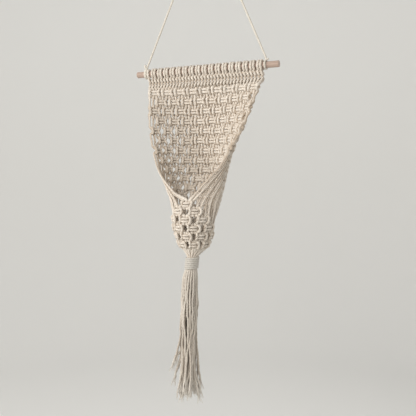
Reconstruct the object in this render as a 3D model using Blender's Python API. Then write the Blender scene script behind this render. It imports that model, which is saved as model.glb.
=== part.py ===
"""Macrame wall hanging: a knotted cotton net on a wooden dowel, closed below into a pocket.

The net hangs from a ridged heading on the dowel, curls forward, closes round a pocket and
is gathered by a cord wrap into a tassel.  The origin is the point where the hanging cord
rests on its nail.  +X runs along the dowel to the right, +Y points into the wall, +Z is up.
A drop is a distance below the origin.  All sizes are in metres.
"""
import math
from collections import namedtuple

import bmesh
import bpy
from mathutils import Vector

# ---- driving dimensions ----
CENTRE_X = -0.0015           # middle of the net, a little left of the dowel's middle

DOWEL_LENGTH = 0.250
DOWEL_RADIUS = 0.0050
DOWEL_DROP = 0.2307
DOWEL_SIDES = 24
DOWEL_CHAMFER = 0.0005

GAP = 0.0003                 # clearance between touching pieces

HEADING_LEFT = -0.1037
HEADING_RIGHT = 0.1008
HEADS = 17                   # lark's heads side by side on the dowel
GROOVE_SCALE = 0.88          # depth of the grooves between them

STRANDS = 20                 # net strands, each standing for about two real ones
STRAND_WIDTH = 0.0050
STRAND_THICKNESS = 0.0044
STRAND_TOP = 0.2568          # drop of the strands' upper ends, just under the heading
KNOT_STRANDS = 4
PORT_PITCH = 0.0057          # spacing of the four strands where they enter a knot
KNOT_RIDGE = 1.55            # thickness of a knot's ridges and of its waist, in strands
KNOT_WAIST = 1.15
FLOAT_STEP = 0.018           # longest straight run of a strand that is in no knot

BACK_FIRST = 0.2720          # drop of the back's first row of knots
BACK_PITCH = 0.0276          # spacing of the first two rows, which shrinks down the back
BACK_SHRINK = 0.00026
BACK_ROWS = 9
BACK_FULL_ROWS = 5           # below these each row has one knot less
FRONT_FIRST = 0.4480
FRONT_PITCH = 0.0200
FRONT_ROWS = 4
BACK_KNOT_HEIGHT = 0.0150
FRONT_KNOT_HEIGHT = 0.0115

WRAP_X = -0.0030
WRAP_Y = -0.0440
WRAP_TOP = 0.5275
WRAP_BOTTOM = 0.5490
WRAP_TURNS = 6
WRAP_INNER = 0.0085
WRAP_OUTER = 0.0112
WRAP_GROOVE = 0.0102
WRAP_SIDES = 20
NECK_TOP = 0.5240
NECK_BOTTOM = 0.5380
NECK_CORE = 0.0056           # radius inside the ring of strands that enter the neck
NECK_SHARE = 0.76            # share of its place round the neck that a strand takes

TASSEL_GRID = 6              # strands of the tassel in a row, six by six in all
TASSEL_FILL = 0.86           # share of its cell that a strand takes
TASSEL_UNEVEN = 0.016        # spread of the strands' cut lengths
GOLDEN_SHARE = 0.618         # steps by this share never repeat, so no two lengths are alike

CORD_DIAMETER = 0.0036       # hanging cord
CORD_STEP = 0.0105
CORD_BEND_STEP = 0.0035       # closer points over the nail
CORD_BEND_REACH = 0.012       # half the width of that bend
CORD_FINE_STEPS = 20          # trial points between two of the route's points

# The hung shape, one row for each height: half the width along the curl, the angle through
# which that half turns, the place of its back, and how far its depth is drawn in.
Section = namedtuple("Section", "drop half_arc half_turn back_y depth")
SECTIONS = (
    Section(0.2400, 0.1020, 4, 0.000, 1.00),
    Section(0.2560, 0.1005, 12, 0.003, 1.00),
    Section(0.2790, 0.0990, 32, 0.009, 1.00),
    Section(0.3280, 0.0980, 54, 0.010, 1.00),
    Section(0.3610, 0.0985, 79, 0.011, 1.00),
    Section(0.3850, 0.1010, 101, 0.011, 0.98),
    Section(0.4050, 0.1060, 123, 0.010, 0.94),
    Section(0.4250, 0.1140, 150, 0.007, 0.87),
    Section(0.4460, 0.1185, 180, 0.001, 0.83),
    Section(0.4630, 0.1030, 180, -0.0047, 0.94),
    Section(0.4710, 0.0955, 180, -0.0086, 1.00),
    Section(0.4850, 0.0895, 180, -0.0115, 1.00),
    Section(0.4980, 0.0820, 180, -0.0144, 1.00),
    Section(0.5126, 0.0638, 180, -0.0187, 1.00),
    Section(0.5240, 0.0300, 180, -0.0330, 1.00),
)

# The tassel, one row for each height: where its middle hangs and how wide it is.
Bunch = namedtuple("Bunch", "drop x y radius")
BUNCHES = (
    Bunch(0.5490, -0.0034, -0.0440, 0.0079),
    Bunch(0.5580, -0.0040, -0.0440, 0.0112),
    Bunch(0.5960, -0.0053, -0.0440, 0.0142),
    Bunch(0.6430, -0.0069, -0.0440, 0.0142),
    Bunch(0.6900, -0.0080, -0.0440, 0.0158),
    Bunch(0.7480, -0.0085, -0.0440, 0.0172),
)

# Outline of the heading behind the dowel, from its underside to its top, as (y, z) from the
# dowel's axis: two bars of hitches below, then the loops over the dowel.
HEADING_SIDE = (
    (0.0026, -0.0257), (0.0049, -0.0208), (0.0028, -0.0160), (0.0049, -0.0112),
    (0.0036, -0.0072), (0.0078, -0.0010), (0.0056, 0.0054),
)
HEADING_CROWN = (0.0, 0.0078)
HEADING_BORE_SIDES = 8

# Route of the hanging cord's middle, from its left knot over the nail to its right knot.
CORD_ROUTE = (
    (-0.1068, 0.0, -0.2192), (-0.0960, 0.0, -0.1960), (-0.0822, 0.0, -0.1660),
    (-0.0684, 0.0, -0.1360), (-0.0546, 0.0, -0.1060), (-0.0409, 0.0, -0.0760),
    (-0.0271, 0.0, -0.0460), (-0.0150, 0.0, -0.0197), (-0.0083, 0.0, -0.0054),
    (-0.0044, 0.0, 0.0003), (0.0, 0.0, 0.0018), (0.0044, 0.0, 0.0003),
    (0.0083, 0.0, -0.0054), (0.0148, 0.0, -0.0197), (0.0265, 0.0, -0.0460),
    (0.0398, 0.0, -0.0760), (0.0531, 0.0, -0.1060), (0.0664, 0.0, -0.1360),
    (0.0797, 0.0, -0.1660), (0.0930, 0.0, -0.1960), (0.1033, 0.0, -0.2192),
)
TIE_LEFT_X, TIE_LEFT_WIDTH = -0.1079, 0.0074
TIE_RIGHT_X, TIE_RIGHT_WIDTH = 0.1034, 0.0040
TIE_THICKNESS = 0.0030
TIE_KNOT_THICKNESS = 0.0058  # where the cord's knot sits on top of the dowel
TIE_KNOT_FALLOFF = 6         # how fast the knot thins out down the dowel's sides
TIE_SIDES = 20
# Outline of a tie: across its width, and up from the dowel in shares of its thickness.
TIE_SECTION = (
    (-0.5, 0.0), (-0.5, 0.6), (-0.25, 1.0), (0.0, 0.8), (0.25, 1.0), (0.5, 0.6), (0.5, 0.0),
)

# ---- colours: base colour and roughness ----
COTTON = ((0.78, 0.71, 0.61), 0.9)
CORD_COTTON = ((0.80, 0.74, 0.64), 0.9)
WOOD = ((0.66, 0.47, 0.33), 0.55)


def make_material(name, look):
    colour, roughness = look
    material = bpy.data.materials.new(name)
    material.use_nodes = True
    shader = material.node_tree.nodes["Principled BSDF"]
    shader.inputs["Base Color"].default_value = (*colour, 1.0)
    shader.inputs["Roughness"].default_value = roughness
    shader.inputs["Metallic"].default_value = 0.0
    return material


def add_object(name, bm, material):
    """Turn a bmesh into a scene object with its faces pointing out."""
    bmesh.ops.recalc_face_normals(bm, faces=bm.faces)
    mesh = bpy.data.meshes.new(name)
    bm.to_mesh(mesh)
    bm.free()
    mesh.materials.append(material)
    obj = bpy.data.objects.new(name, mesh)
    bpy.context.scene.collection.objects.link(obj)
    return obj


def interpolate(rows, drop):
    """Read a table of rows at any drop, along a smooth curve through them."""
    last = len(rows) - 1
    drop = min(max(drop, rows[0].drop), rows[last].drop)
    i = next(k for k in range(last) if drop <= rows[k + 1].drop)
    before, start, end, after = rows[max(i - 1, 0)], rows[i], rows[i + 1], rows[min(i + 2, last)]
    span = end.drop - start.drop
    t = (drop - start.drop) / span
    values = []
    for p, a, b, n in zip(before, start, end, after):
        slope_a = (b - p) / (end.drop - before.drop) * span
        slope_b = (n - a) / (after.drop - start.drop) * span
        values.append((2 * t**3 - 3 * t**2 + 1) * a + (t**3 - 2 * t**2 + t) * slope_a
                      + (3 * t**2 - 2 * t**3) * b + (t**3 - t**2) * slope_b)
    return type(start)(*values)


# ---- the net ----
def curl_radius(section):
    return section.half_arc / math.radians(section.half_turn)


def net_point(angle, drop, out):
    """A point of the hung net: angle round the curl from its back, out from its mid surface."""
    section = interpolate(SECTIONS, drop)
    radius = curl_radius(section)
    outward = Vector((section.depth * math.sin(angle), math.cos(angle), 0)).normalized()
    x = CENTRE_X + radius * math.sin(angle)
    y = section.back_y - section.depth * radius * (1 - math.cos(angle))
    return Vector((x, y, -drop)) + outward * out


def strand_angle(strand, drop):
    """Angle of a strand that hangs free, the strands being spread evenly."""
    share = (strand - (STRANDS - 1) / 2) / (STRANDS / 2)
    return share * math.radians(interpolate(SECTIONS, drop).half_turn)


def strand_ring(bm, strand, drop):
    """The four corners of a free strand at one height."""
    middle = strand_angle(strand, drop)
    half = STRAND_WIDTH / 2 / curl_radius(interpolate(SECTIONS, drop))
    corners = ((-half, 1), (half, 1), (half, -1), (-half, -1))
    return [bm.verts.new(net_point(middle + turn, drop, side * STRAND_THICKNESS / 2))
            for turn, side in corners]


def join_rings(bm, upper, lower):
    count = len(upper)
    for i in range(count):
        j = (i + 1) % count
        bm.faces.new((upper[i], upper[j], lower[j], lower[i]))


def add_knot(bm, first, drop, height):
    """A ridged knot round four strands; its open ends are returned for them to join."""
    columns = []
    for k in range(KNOT_STRANDS):
        centre = (k - (KNOT_STRANDS - 1) / 2) * PORT_PITCH
        columns += [centre - STRAND_WIDTH / 2, centre + STRAND_WIDTH / 2]
    levels = ((-0.5, 1.0), (-0.25, KNOT_RIDGE), (0.0, KNOT_WAIST), (0.25, KNOT_RIDGE), (0.5, 1.0))
    grid = []
    for place, bulge in levels:
        level = drop + place * height
        middle = strand_angle(first + (KNOT_STRANDS - 1) / 2, level)
        radius = curl_radius(interpolate(SECTIONS, level))
        out = bulge * STRAND_THICKNESS / 2
        row = []
        for offset in columns:
            row.append([bm.verts.new(net_point(middle + offset / radius, level, side * out))
                        for side in (1, -1)])
        grid.append(row)
    for upper, lower in zip(grid, grid[1:]):
        outline_up = [pair[0] for pair in upper] + [pair[1] for pair in reversed(upper)]
        outline_low = [pair[0] for pair in lower] + [pair[1] for pair in reversed(lower)]
        join_rings(bm, outline_up, outline_low)
    ports = []
    for row in (grid[0], grid[-1]):
        for c in range(1, len(columns) - 1, 2):
            bm.faces.new((row[c][0], row[c + 1][0], row[c + 1][1], row[c][1]))
        ports.append([[row[c][0], row[c + 1][0], row[c + 1][1], row[c][1]]
                      for c in range(0, len(columns), 2)])
    return ports


def knot_plan():
    """First strand, drop and height of every knot, the back's rows and then the front's."""
    plan = []
    for row in range(BACK_ROWS):
        drop = BACK_FIRST + BACK_PITCH * row - BACK_SHRINK * row**2
        skipped = row % 2 * 2 if row < BACK_FULL_ROWS else (row - BACK_FULL_ROWS + 1) * 2
        for first in range(skipped, STRANDS - skipped - KNOT_STRANDS + 1, KNOT_STRANDS):
            plan.append((first, drop, BACK_KNOT_HEIGHT))
    for row in range(FRONT_ROWS):
        drop = FRONT_FIRST + FRONT_PITCH * row
        for k in range(row + 1):
            first = STRANDS - 2 * (row + 1) + KNOT_STRANDS * k
            plan.append((first, drop, FRONT_KNOT_HEIGHT))
    return plan


def add_neck(bm):
    """The gathered strands inside the wrap; returns the ports on its top, one for each strand."""
    ports, outline_top, outline_low, core = [], [], [], []
    outer = WRAP_INNER - GAP
    for strand in range(STRANDS):
        share = (strand - (STRANDS - 1) / 2) / (STRANDS / 2)
        corners = []
        for side in (-1, 1):
            angle = math.pi * (share + side * NECK_SHARE / STRANDS)
            for radius in (outer, NECK_CORE):
                x = WRAP_X + radius * math.sin(angle)
                y = WRAP_Y + radius * math.cos(angle)
                corners.append(bm.verts.new((x, y, -NECK_TOP)))
            outline_top.append(corners[-2])
            core.append(corners[-1])
            x = WRAP_X + outer * math.sin(angle)
            y = WRAP_Y + outer * math.cos(angle)
            outline_low.append(bm.verts.new((x, y, -NECK_BOTTOM)))
        ports.append([corners[0], corners[2], corners[3], corners[1]])
    for i in range(STRANDS):
        here, following = ports[i], ports[(i + 1) % STRANDS]
        bm.faces.new((here[1], following[0], following[3], here[2]))
    join_rings(bm, outline_top, outline_low)
    bm.faces.new(core)
    bm.faces.new(outline_low)
    return ports


def build_net(material):
    bm = bmesh.new()
    stops = {strand: [] for strand in range(STRANDS)}
    for first, drop, height in knot_plan():
        upper, lower = add_knot(bm, first, drop, height)
        for k in range(KNOT_STRANDS):
            stop = (drop - height / 2, upper[k], drop + height / 2, lower[k])
            stops[(first + k) % STRANDS].append(stop)
    neck_ports = add_neck(bm)
    for strand, knots in stops.items():
        ring = strand_ring(bm, strand, STRAND_TOP)
        bm.faces.new(ring)
        height = STRAND_TOP
        knots.sort(key=lambda stop: stop[0])
        knots.append((NECK_TOP, neck_ports[strand], None, None))
        for top, upper, bottom, lower in knots:
            steps = int((top - height) / FLOAT_STEP)
            for k in range(steps):
                between = strand_ring(bm, strand, height + (top - height) * (k + 1) / (steps + 1))
                join_rings(bm, ring, between)
                ring = between
            join_rings(bm, ring, upper)
            ring, height = lower, bottom
    return add_object("net_pocket", bm, material)


# ---- heading, dowel, wrap and tassel ----
def build_heading(material):
    """Lark's heads over the dowel and two bars of hitches under it, as one ridged sleeve."""
    bm = bmesh.new()
    side = [(y, z) for y, z in HEADING_SIDE]
    outline = side + [HEADING_CROWN] + [(-y, z) for y, z in reversed(side)]
    bore = (DOWEL_RADIUS + GAP) / math.cos(math.pi / HEADING_BORE_SIDES)
    stations = 2 * HEADS + 1
    outer_loops, inner_loops = [], []
    for station in range(stations):
        x = HEADING_LEFT + (HEADING_RIGHT - HEADING_LEFT) * station / (stations - 1)
        scale = GROOVE_SCALE if station % 2 == 0 else 1.0
        outer = []
        for y, z in outline:
            raised = z * scale if z > 0 else z
            outer.append(bm.verts.new((x, y * scale, raised - DOWEL_DROP)))
        inner = []
        for k in range(HEADING_BORE_SIDES):
            angle = 2 * math.pi * (k + 0.5) / HEADING_BORE_SIDES
            y, z = bore * math.sin(angle), bore * math.cos(angle)
            inner.append(bm.verts.new((x, y, z - DOWEL_DROP)))
        outer_loops.append(outer)
        inner_loops.append(inner)
    for loops in (outer_loops, inner_loops):
        for near, far in zip(loops, loops[1:]):
            join_rings(bm, near, far)
    bm.edges.ensure_lookup_table()
    for outer, inner in ((outer_loops[0], inner_loops[0]), (outer_loops[-1], inner_loops[-1])):
        edges = [bm.edges.get((loop[i - 1], loop[i])) for loop in (outer, inner)
                 for i in range(len(loop))]
        bmesh.ops.bridge_loops(bm, edges=edges)
    return add_object("heading", bm, material)


def build_dowel(material):
    bm = bmesh.new()
    half = DOWEL_LENGTH / 2
    profile = ((-half, DOWEL_RADIUS - DOWEL_CHAMFER), (-half + DOWEL_CHAMFER, DOWEL_RADIUS),
               (half - DOWEL_CHAMFER, DOWEL_RADIUS), (half, DOWEL_RADIUS - DOWEL_CHAMFER))
    rings = []
    for x, radius in profile:
        ring = []
        for k in range(DOWEL_SIDES):
            angle = 2 * math.pi * k / DOWEL_SIDES
            ring.append(bm.verts.new((x, radius * math.sin(angle), radius * math.cos(angle))))
        rings.append(ring)
    for near, far in zip(rings, rings[1:]):
        join_rings(bm, near, far)
    bm.faces.new(rings[0])
    bm.faces.new(rings[-1])
    dowel = add_object("dowel", bm, material)
    dowel.location = (0, 0, -DOWEL_DROP)
    return dowel


def build_wrap(material):
    """The gathering wrap: a ring with one ridge for each turn of cord."""
    bm = bmesh.new()
    levels = [(0.0, WRAP_INNER)]
    for k in range(2 * WRAP_TURNS + 1):
        levels.append((k / (2 * WRAP_TURNS), WRAP_GROOVE if k % 2 == 0 else WRAP_OUTER))
    levels.append((1.0, WRAP_INNER))
    rings = []
    for place, radius in levels:
        drop = WRAP_TOP + (WRAP_BOTTOM - WRAP_TOP) * place
        ring = []
        for k in range(WRAP_SIDES):
            angle = 2 * math.pi * k / WRAP_SIDES
            reach = radius / (math.cos(math.pi / WRAP_SIDES) if radius == WRAP_INNER else 1.0)
            x, y = WRAP_X + reach * math.sin(angle), WRAP_Y + reach * math.cos(angle)
            ring.append(bm.verts.new((x, y, -drop)))
        rings.append(ring)
    for k, ring in enumerate(rings):
        join_rings(bm, ring, rings[(k + 1) % len(rings)])
    return add_object("gathering_wrap", bm, material)


def disc_point(across, along):
    """Map a square from -1 to 1 onto a round disc of radius 1."""
    return (across * math.sqrt(1 - along * along / 2), along * math.sqrt(1 - across * across / 2))


def build_tassel(material):
    """Strands that hang from a round head: the head's cells run down as four-sided strands."""
    bm = bmesh.new()
    n = TASSEL_GRID
    corner = [[disc_point(2 * i / n - 1, 2 * j / n - 1) for j in range(n + 1)]
              for i in range(n + 1)]
    head_top, head_low = NECK_BOTTOM + GAP, WRAP_BOTTOM

    def place(point, drop, bunch):
        return (bunch.x + bunch.radius * point[0], bunch.y + bunch.radius * point[1], -drop)

    root = BUNCHES[0]._replace(x=WRAP_X)
    top = [[bm.verts.new(place(p, head_top, root)) for p in line] for line in corner]
    low = [[bm.verts.new(place(p, head_low, root)) for p in line] for line in corner]
    cells = [(i, j) for i in range(n) for j in range(n)]
    around = ((0, 0), (1, 0), (1, 1), (0, 1))
    for i, j in cells:
        bm.faces.new([top[i + a][j + b] for a, b in around])
    for k in range(n):
        for a, b in (((k, 0), (k + 1, 0)), ((k, n), (k + 1, n)),
                     ((0, k), (0, k + 1)), ((n, k), (n, k + 1))):
            bm.faces.new((top[a[0]][a[1]], top[b[0]][b[1]], low[b[0]][b[1]], low[a[0]][a[1]]))
    for number, (i, j) in enumerate(cells):
        border = [corner[i + a][j + b] for a, b in around]
        middle = [sum(p[axis] for p in border) / 4 for axis in (0, 1)]
        inset = [[middle[axis] + (p[axis] - middle[axis]) * TASSEL_FILL for axis in (0, 1)]
                 for p in border]
        cut = TASSEL_UNEVEN * (number * GOLDEN_SHARE % 1.0)
        ring = [low[i + a][j + b] for a, b in around]
        for bunch in (root,) + BUNCHES[1:]:
            drop = bunch.drop - (cut if bunch is BUNCHES[-1] else 0)
            following = [bm.verts.new(place(p, drop, bunch)) for p in inset]
            join_rings(bm, ring, following)
            ring = following
        bm.faces.new(ring)
    return add_object("tassel", bm, material)


# ---- the hanging cord ----
def smooth_route(points):
    """Points at even steps on a smooth curve through the route, closer over the nail."""
    fine = []
    knots = [Vector(p) for p in points]
    padded = [2 * knots[0] - knots[1]] + knots + [2 * knots[-1] - knots[-2]]
    for before, start, end, after in zip(padded, padded[1:], padded[2:], padded[3:]):
        for k in range(CORD_FINE_STEPS):
            t = k / CORD_FINE_STEPS
            fine.append(0.5 * (2 * start + (end - before) * t
                               + (2 * before - 5 * start + 4 * end - after) * t**2
                               + (3 * start - before - 3 * end + after) * t**3))
    fine.append(knots[-1])
    picked, run = [fine[0]], 0.0
    for near, far in zip(fine, fine[1:]):
        run += (far - near).length
        in_bend = abs(far.x) < CORD_BEND_REACH
        if run >= (CORD_BEND_STEP if in_bend else CORD_STEP):
            picked.append(far)
            run = 0.0
    if (picked[-1] - fine[-1]).length < CORD_BEND_STEP:
        picked.pop()
    return picked + [fine[-1]]


def build_cord(material):
    curve = bpy.data.curves.new("hanging_cord", "CURVE")
    curve.dimensions = "3D"
    curve.bevel_depth = CORD_DIAMETER / 2
    curve.bevel_resolution = 2
    curve.use_fill_caps = True
    points = smooth_route(CORD_ROUTE)
    spline = curve.splines.new("POLY")
    spline.points.add(len(points) - 1)
    for slot, point in zip(spline.points, points):
        slot.co = (*point, 1.0)
    curve.materials.append(material)
    cord = bpy.data.objects.new("hanging_cord", curve)
    bpy.context.scene.collection.objects.link(cord)
    return cord


def build_tie(name, x_middle, width, material):
    """The cord's turns round the dowel, thickest where their knot sits on top."""
    bm = bmesh.new()
    inner = (DOWEL_RADIUS + GAP) / math.cos(math.pi / TIE_SIDES)
    rings = []
    for k in range(TIE_SIDES):
        angle = 2 * math.pi * k / TIE_SIDES
        top = max(math.cos(angle), 0.0) ** TIE_KNOT_FALLOFF
        thick = TIE_THICKNESS + (TIE_KNOT_THICKNESS - TIE_THICKNESS) * top
        ring = []
        for across, up in TIE_SECTION:
            reach = inner + thick * up
            y, z = reach * math.sin(angle), reach * math.cos(angle)
            ring.append(bm.verts.new((x_middle + across * width, y, z - DOWEL_DROP)))
        rings.append(ring)
    for k, ring in enumerate(rings):
        join_rings(bm, ring, rings[(k + 1) % len(rings)])
    return add_object(name, bm, material)


def build_hanging():
    for obj in list(bpy.data.objects):
        bpy.data.objects.remove(obj, do_unlink=True)
    net_cotton = make_material("net_cotton", COTTON)
    heading_cotton = make_material("heading_cotton", COTTON)
    wrap_cotton = make_material("wrap_cotton", COTTON)
    tassel_cotton = make_material("tassel_cotton", COTTON)
    cord_cotton = make_material("cord_cotton", CORD_COTTON)
    build_dowel(make_material("dowel_wood", WOOD))
    build_heading(heading_cotton)
    build_net(net_cotton)
    build_wrap(wrap_cotton)
    build_tassel(tassel_cotton)
    build_cord(cord_cotton)
    build_tie("cord_tie_left", TIE_LEFT_X, TIE_LEFT_WIDTH, cord_cotton)
    build_tie("cord_tie_right", TIE_RIGHT_X, TIE_RIGHT_WIDTH, cord_cotton)


build_hanging()
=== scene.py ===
import math
import random
from collections import namedtuple

import bpy
import numpy as np
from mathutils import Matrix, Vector


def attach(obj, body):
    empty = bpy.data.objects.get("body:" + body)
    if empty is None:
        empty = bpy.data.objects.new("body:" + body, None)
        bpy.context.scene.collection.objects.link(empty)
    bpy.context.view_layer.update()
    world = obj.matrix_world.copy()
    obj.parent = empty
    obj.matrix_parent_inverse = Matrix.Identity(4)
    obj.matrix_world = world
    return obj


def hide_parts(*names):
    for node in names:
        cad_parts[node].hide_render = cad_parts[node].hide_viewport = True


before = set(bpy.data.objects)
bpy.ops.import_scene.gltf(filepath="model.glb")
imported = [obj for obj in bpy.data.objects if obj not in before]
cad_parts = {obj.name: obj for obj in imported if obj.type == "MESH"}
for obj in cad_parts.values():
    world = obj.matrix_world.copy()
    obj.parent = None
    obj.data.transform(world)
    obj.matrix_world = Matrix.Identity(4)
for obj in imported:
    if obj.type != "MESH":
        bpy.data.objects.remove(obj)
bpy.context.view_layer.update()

# A macrame wall pocket. Thirty-six strands of cotton cord hang from a dowel. They are tied into a
# net of square knots, which curls forward and closes into a pocket, and end in a wrapped tassel.
#
# Sizes are in metres in the frame of the solids: +X along the dowel, +Y into the wall, +Z up.
# A drop is a distance below the nail. A shade says how much darker the cotton is painted, from 0 to 1:
# a strand's or a hitch's random tone is its own, the other shades are painted shade.
# The strands are numbered from 1 at the left.
SEED = 7
BODY = "root"
MM = 0.001
TINY = 1e-6                  # the least length that is divided by

# ---- camera, as the photograph was taken: from the right, a little above the pocket ----
CAMERA_PLACE = (0.4213, -0.9154, -0.4111)
CAMERA_YAW = 24.436          # in degrees
CAMERA_PITCH = -2.418
CAMERA_SENSOR = 36.0         # in millimetres
CAMERA_LENS = 53.65
CAMERA_CLIP = 0.01

# ---- the cotton cord ----
CORD_RADIUS = 0.0020
KNOT_RADIUS = 0.00215        # where it lies across a knot
SIDE_RADIUS = 0.0025         # where it turns round a knot's side
RUN_RADIUS = 0.0024          # where it runs on from a knot to the next
FLOAT_RADIUS = 0.0016        # where it hangs straight under load
BACK_FLOAT_RADIUS = 0.0024   # where it hangs slack at the back of the pocket
TASSEL_RADIUS = 0.0017
TIP_TAPER = 0.70             # share of that radius which a strand's tip keeps
CORD_SIDES = 12
PLIES = 3
PLY_DEPTH = 0.11             # depth of the grooves between the plies, as a share of the radius
LAY = 0.0165                 # length in which a ply goes once round the cord
RING_STEP = 0.0013           # spacing of a tube's rings
STEEP = 0.9                  # past this share of +Y a line's first side is taken from +X

# ---- shades: the cotton's own uneven tone, and painted shade ----
GROOVE_PAINTED_SHADE = 0.22          # painted shade in the grooves between the plies
SUNK_PAINTED_SHADE = 0.45            # painted shade where a cord lies deep in a knot or in a bar of hitches
SUNK_OUT = 2.0               # millimetres from a knot's mid surface at which it isn't sunk
SUNK_FADE = 1.5              # power with which this painted shade fades towards a knot's ends
STRAND_UNEVEN = 0.18         # how far one strand's shade may lie from another's
HITCH_UNEVEN = 0.15          # and one hitch's from another's
HOLDING_PAINTED_SHADE = 0.3          # painted shade on the cord inside a bar of hitches
EVEN_FLOAT_PAINTED_SHADE = 0.30           # painted shade on the even floats, which lie behind the odd ones
HITCH_FLANK_PAINTED_SHADE = 0.25           # painted shade on the flanks of a hitch
WRAP_FLANK_PAINTED_SHADE = 0.8             # painted shade on those of a turn of the wrap
FLANK_DROPS = (0.256, 0.290, 0.380, 0.440, 0.550, 0.600, 0.720)
FLANK_PAINTED_SHADES = (0.25, 0.95, 0.80, 0.25, 0.60, 0.50, 0.25)    # painted shade on a strand's flanks, at these drops
TASSEL_DROPS = (0.545, 0.570, 0.610, 0.660, 0.700, 0.730)
TASSEL_PAINTED_SHADES = (0.0, 0.14, 0.12, 0.30, 0.28, 0.05)          # painted shade all round the tassel, at these drops
RING_PAINTED_SHADES = (0.0, 0.28, 0.40)                              # painted shade on its rings, from the outer one in

# ---- the hanging cord and its ties ----
HANGING_DIAMETER = 0.0036
HANGING_RADIUS = HANGING_DIAMETER / 2 / (1 + PLY_DEPTH)
HANGING_LAY = 0.0125
HANGING_STEP = 0.0009
CORD_ROUTE = (
    (-0.1068, 0.0, -0.2192), (-0.0960, 0.0, -0.1960), (-0.0822, 0.0, -0.1660),
    (-0.0684, 0.0, -0.1360), (-0.0546, 0.0, -0.1060), (-0.0409, 0.0, -0.0760),
    (-0.0271, 0.0, -0.0460), (-0.0150, 0.0, -0.0197), (-0.0083, 0.0, -0.0054),
    (-0.0044, 0.0, 0.0003), (0.0, 0.0, 0.0018), (0.0044, 0.0, 0.0003),
    (0.0083, 0.0, -0.0054), (0.0148, 0.0, -0.0197), (0.0265, 0.0, -0.0460),
    (0.0398, 0.0, -0.0760), (0.0531, 0.0, -0.1060), (0.0664, 0.0, -0.1360),
    (0.0797, 0.0, -0.1660), (0.0930, 0.0, -0.1960), (0.1033, 0.0, -0.2192),
)
TIE_START = 0.0002           # how far below the route's end a tie's cord starts
TURN_REACH = 0.85            # how far a turn stands out from the dowel, in half diameters
TURN_STEP = 24               # degrees from mark to mark
Turn = namedtuple("Turn", "x_start x_end angle_start angle_end lift")
LEFT_ENTRY = (-0.1074, -0.0012, -0.2216)
LEFT_TURN = Turn(-0.1078, -0.1096, 20, 380, 0.0)
LEFT_CROSSING = ((-0.1080, 0.0030, -0.2236), (-0.1062, 0.0032, -0.2222))
LEFT_LAST_TURN = Turn(-0.1062, -0.1068, -30, 330, 0.0002)
LEFT_END = ((-0.1082, -0.0012, -0.2212), (-0.1096, -0.0020, -0.2192),
            (-0.1098, -0.0016, -0.2166), (-0.1094, -0.0012, -0.2150))
RIGHT_ENTRY = (0.1035, -0.0006, -0.2214)
RIGHT_TURN = Turn(0.1034, 0.1034, 10, 380, 0.0)
RIGHT_END = ((0.1052, -0.0016, -0.2226), (0.1068, -0.0012, -0.2222), (0.1082, -0.0006, -0.2226))

# ---- the dowel and the heading ----
DOWEL_RADIUS = 0.0050
DOWEL_DROP = 0.2307
CENTRE_X = -0.0015
STRANDS = 36
HEAD_FIRST = -0.0917         # middle of the first lark's head
HEAD_PITCH = 0.01164
HEAD_RADIUS = 0.0021
FIRST_TURN_X = -0.1026       # where the first strand goes over the dowel, with no head
TIERS = (0.2430, 0.2533)     # drops of the two bars of hitches
TIER_LEFT = -0.1037          # left end of the hitches
TIER_PITCH = 0.005675        # one strand
TIER_Y = -0.0004             # where the strands run inside a bar
BETWEEN_Y = -0.0010          # and between the bars
TIER_LEAN = 0.0012           # how far a hitch leans to the side, up and down
HITCH_DEPTH = 0.0036
HITCH_HEIGHT = 0.0029
HITCH_RADIUS = 0.0018
HITCH_TURN = 380             # degrees that a hitch goes round its holding cord
HITCH_STEPS = 12
HOLDING_RADIUS = 0.0016      # of the cord inside a bar, and of the strands there
HOLDING_INSET = 0.0008       # how far its ends stay inside the bar's
HOLDING_STEP = 0.002
HEADING_FOOT = 0.2565        # drop where the heading ends and the net begins
HEADING_FOOT_OUT = -0.0010   # and how far out of the net's mid surface the strands are there

# Middle of a lark's head's left cord, from the middle of its bar behind the dowel over the
# top and down the front to the hitches: to the side, back from the dowel's axis, and up, in
# millimetres. The first strand's turn runs likewise, with no bar.
HeadMark = namedtuple("HeadMark", "side back up")
HEAD_PATH = (
    HeadMark(0.4, 7.9, -5.3), HeadMark(-1.4, 7.8, -5.1), HeadMark(-2.7, 7.2, -3.4),
    HeadMark(-2.7, 6.6, -0.6), HeadMark(-2.6, 5.4, 3.4), HeadMark(-2.5, 3.0, 5.9),
    HeadMark(-2.4, 0.0, 6.9), HeadMark(-2.3, -3.4, 5.9), HeadMark(-2.3, -6.0, 3.0),
    HeadMark(-2.3, -6.9, -0.6), HeadMark(-2.4, -6.0, -4.2), HeadMark(-2.5, -3.6, -6.8),
)
TURN_PATH = (
    HeadMark(0.0, 4.8, -4.4), HeadMark(0.0, 6.4, -0.6), HeadMark(0.0, 5.4, 3.4),
    HeadMark(0.0, 2.8, 5.8), HeadMark(0.0, -0.4, 6.4), HeadMark(0.1, -3.6, 5.3),
    HeadMark(0.2, -5.9, 2.4), HeadMark(0.4, -6.4, -1.4), HeadMark(0.9, -5.0, -5.4),
)

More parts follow.
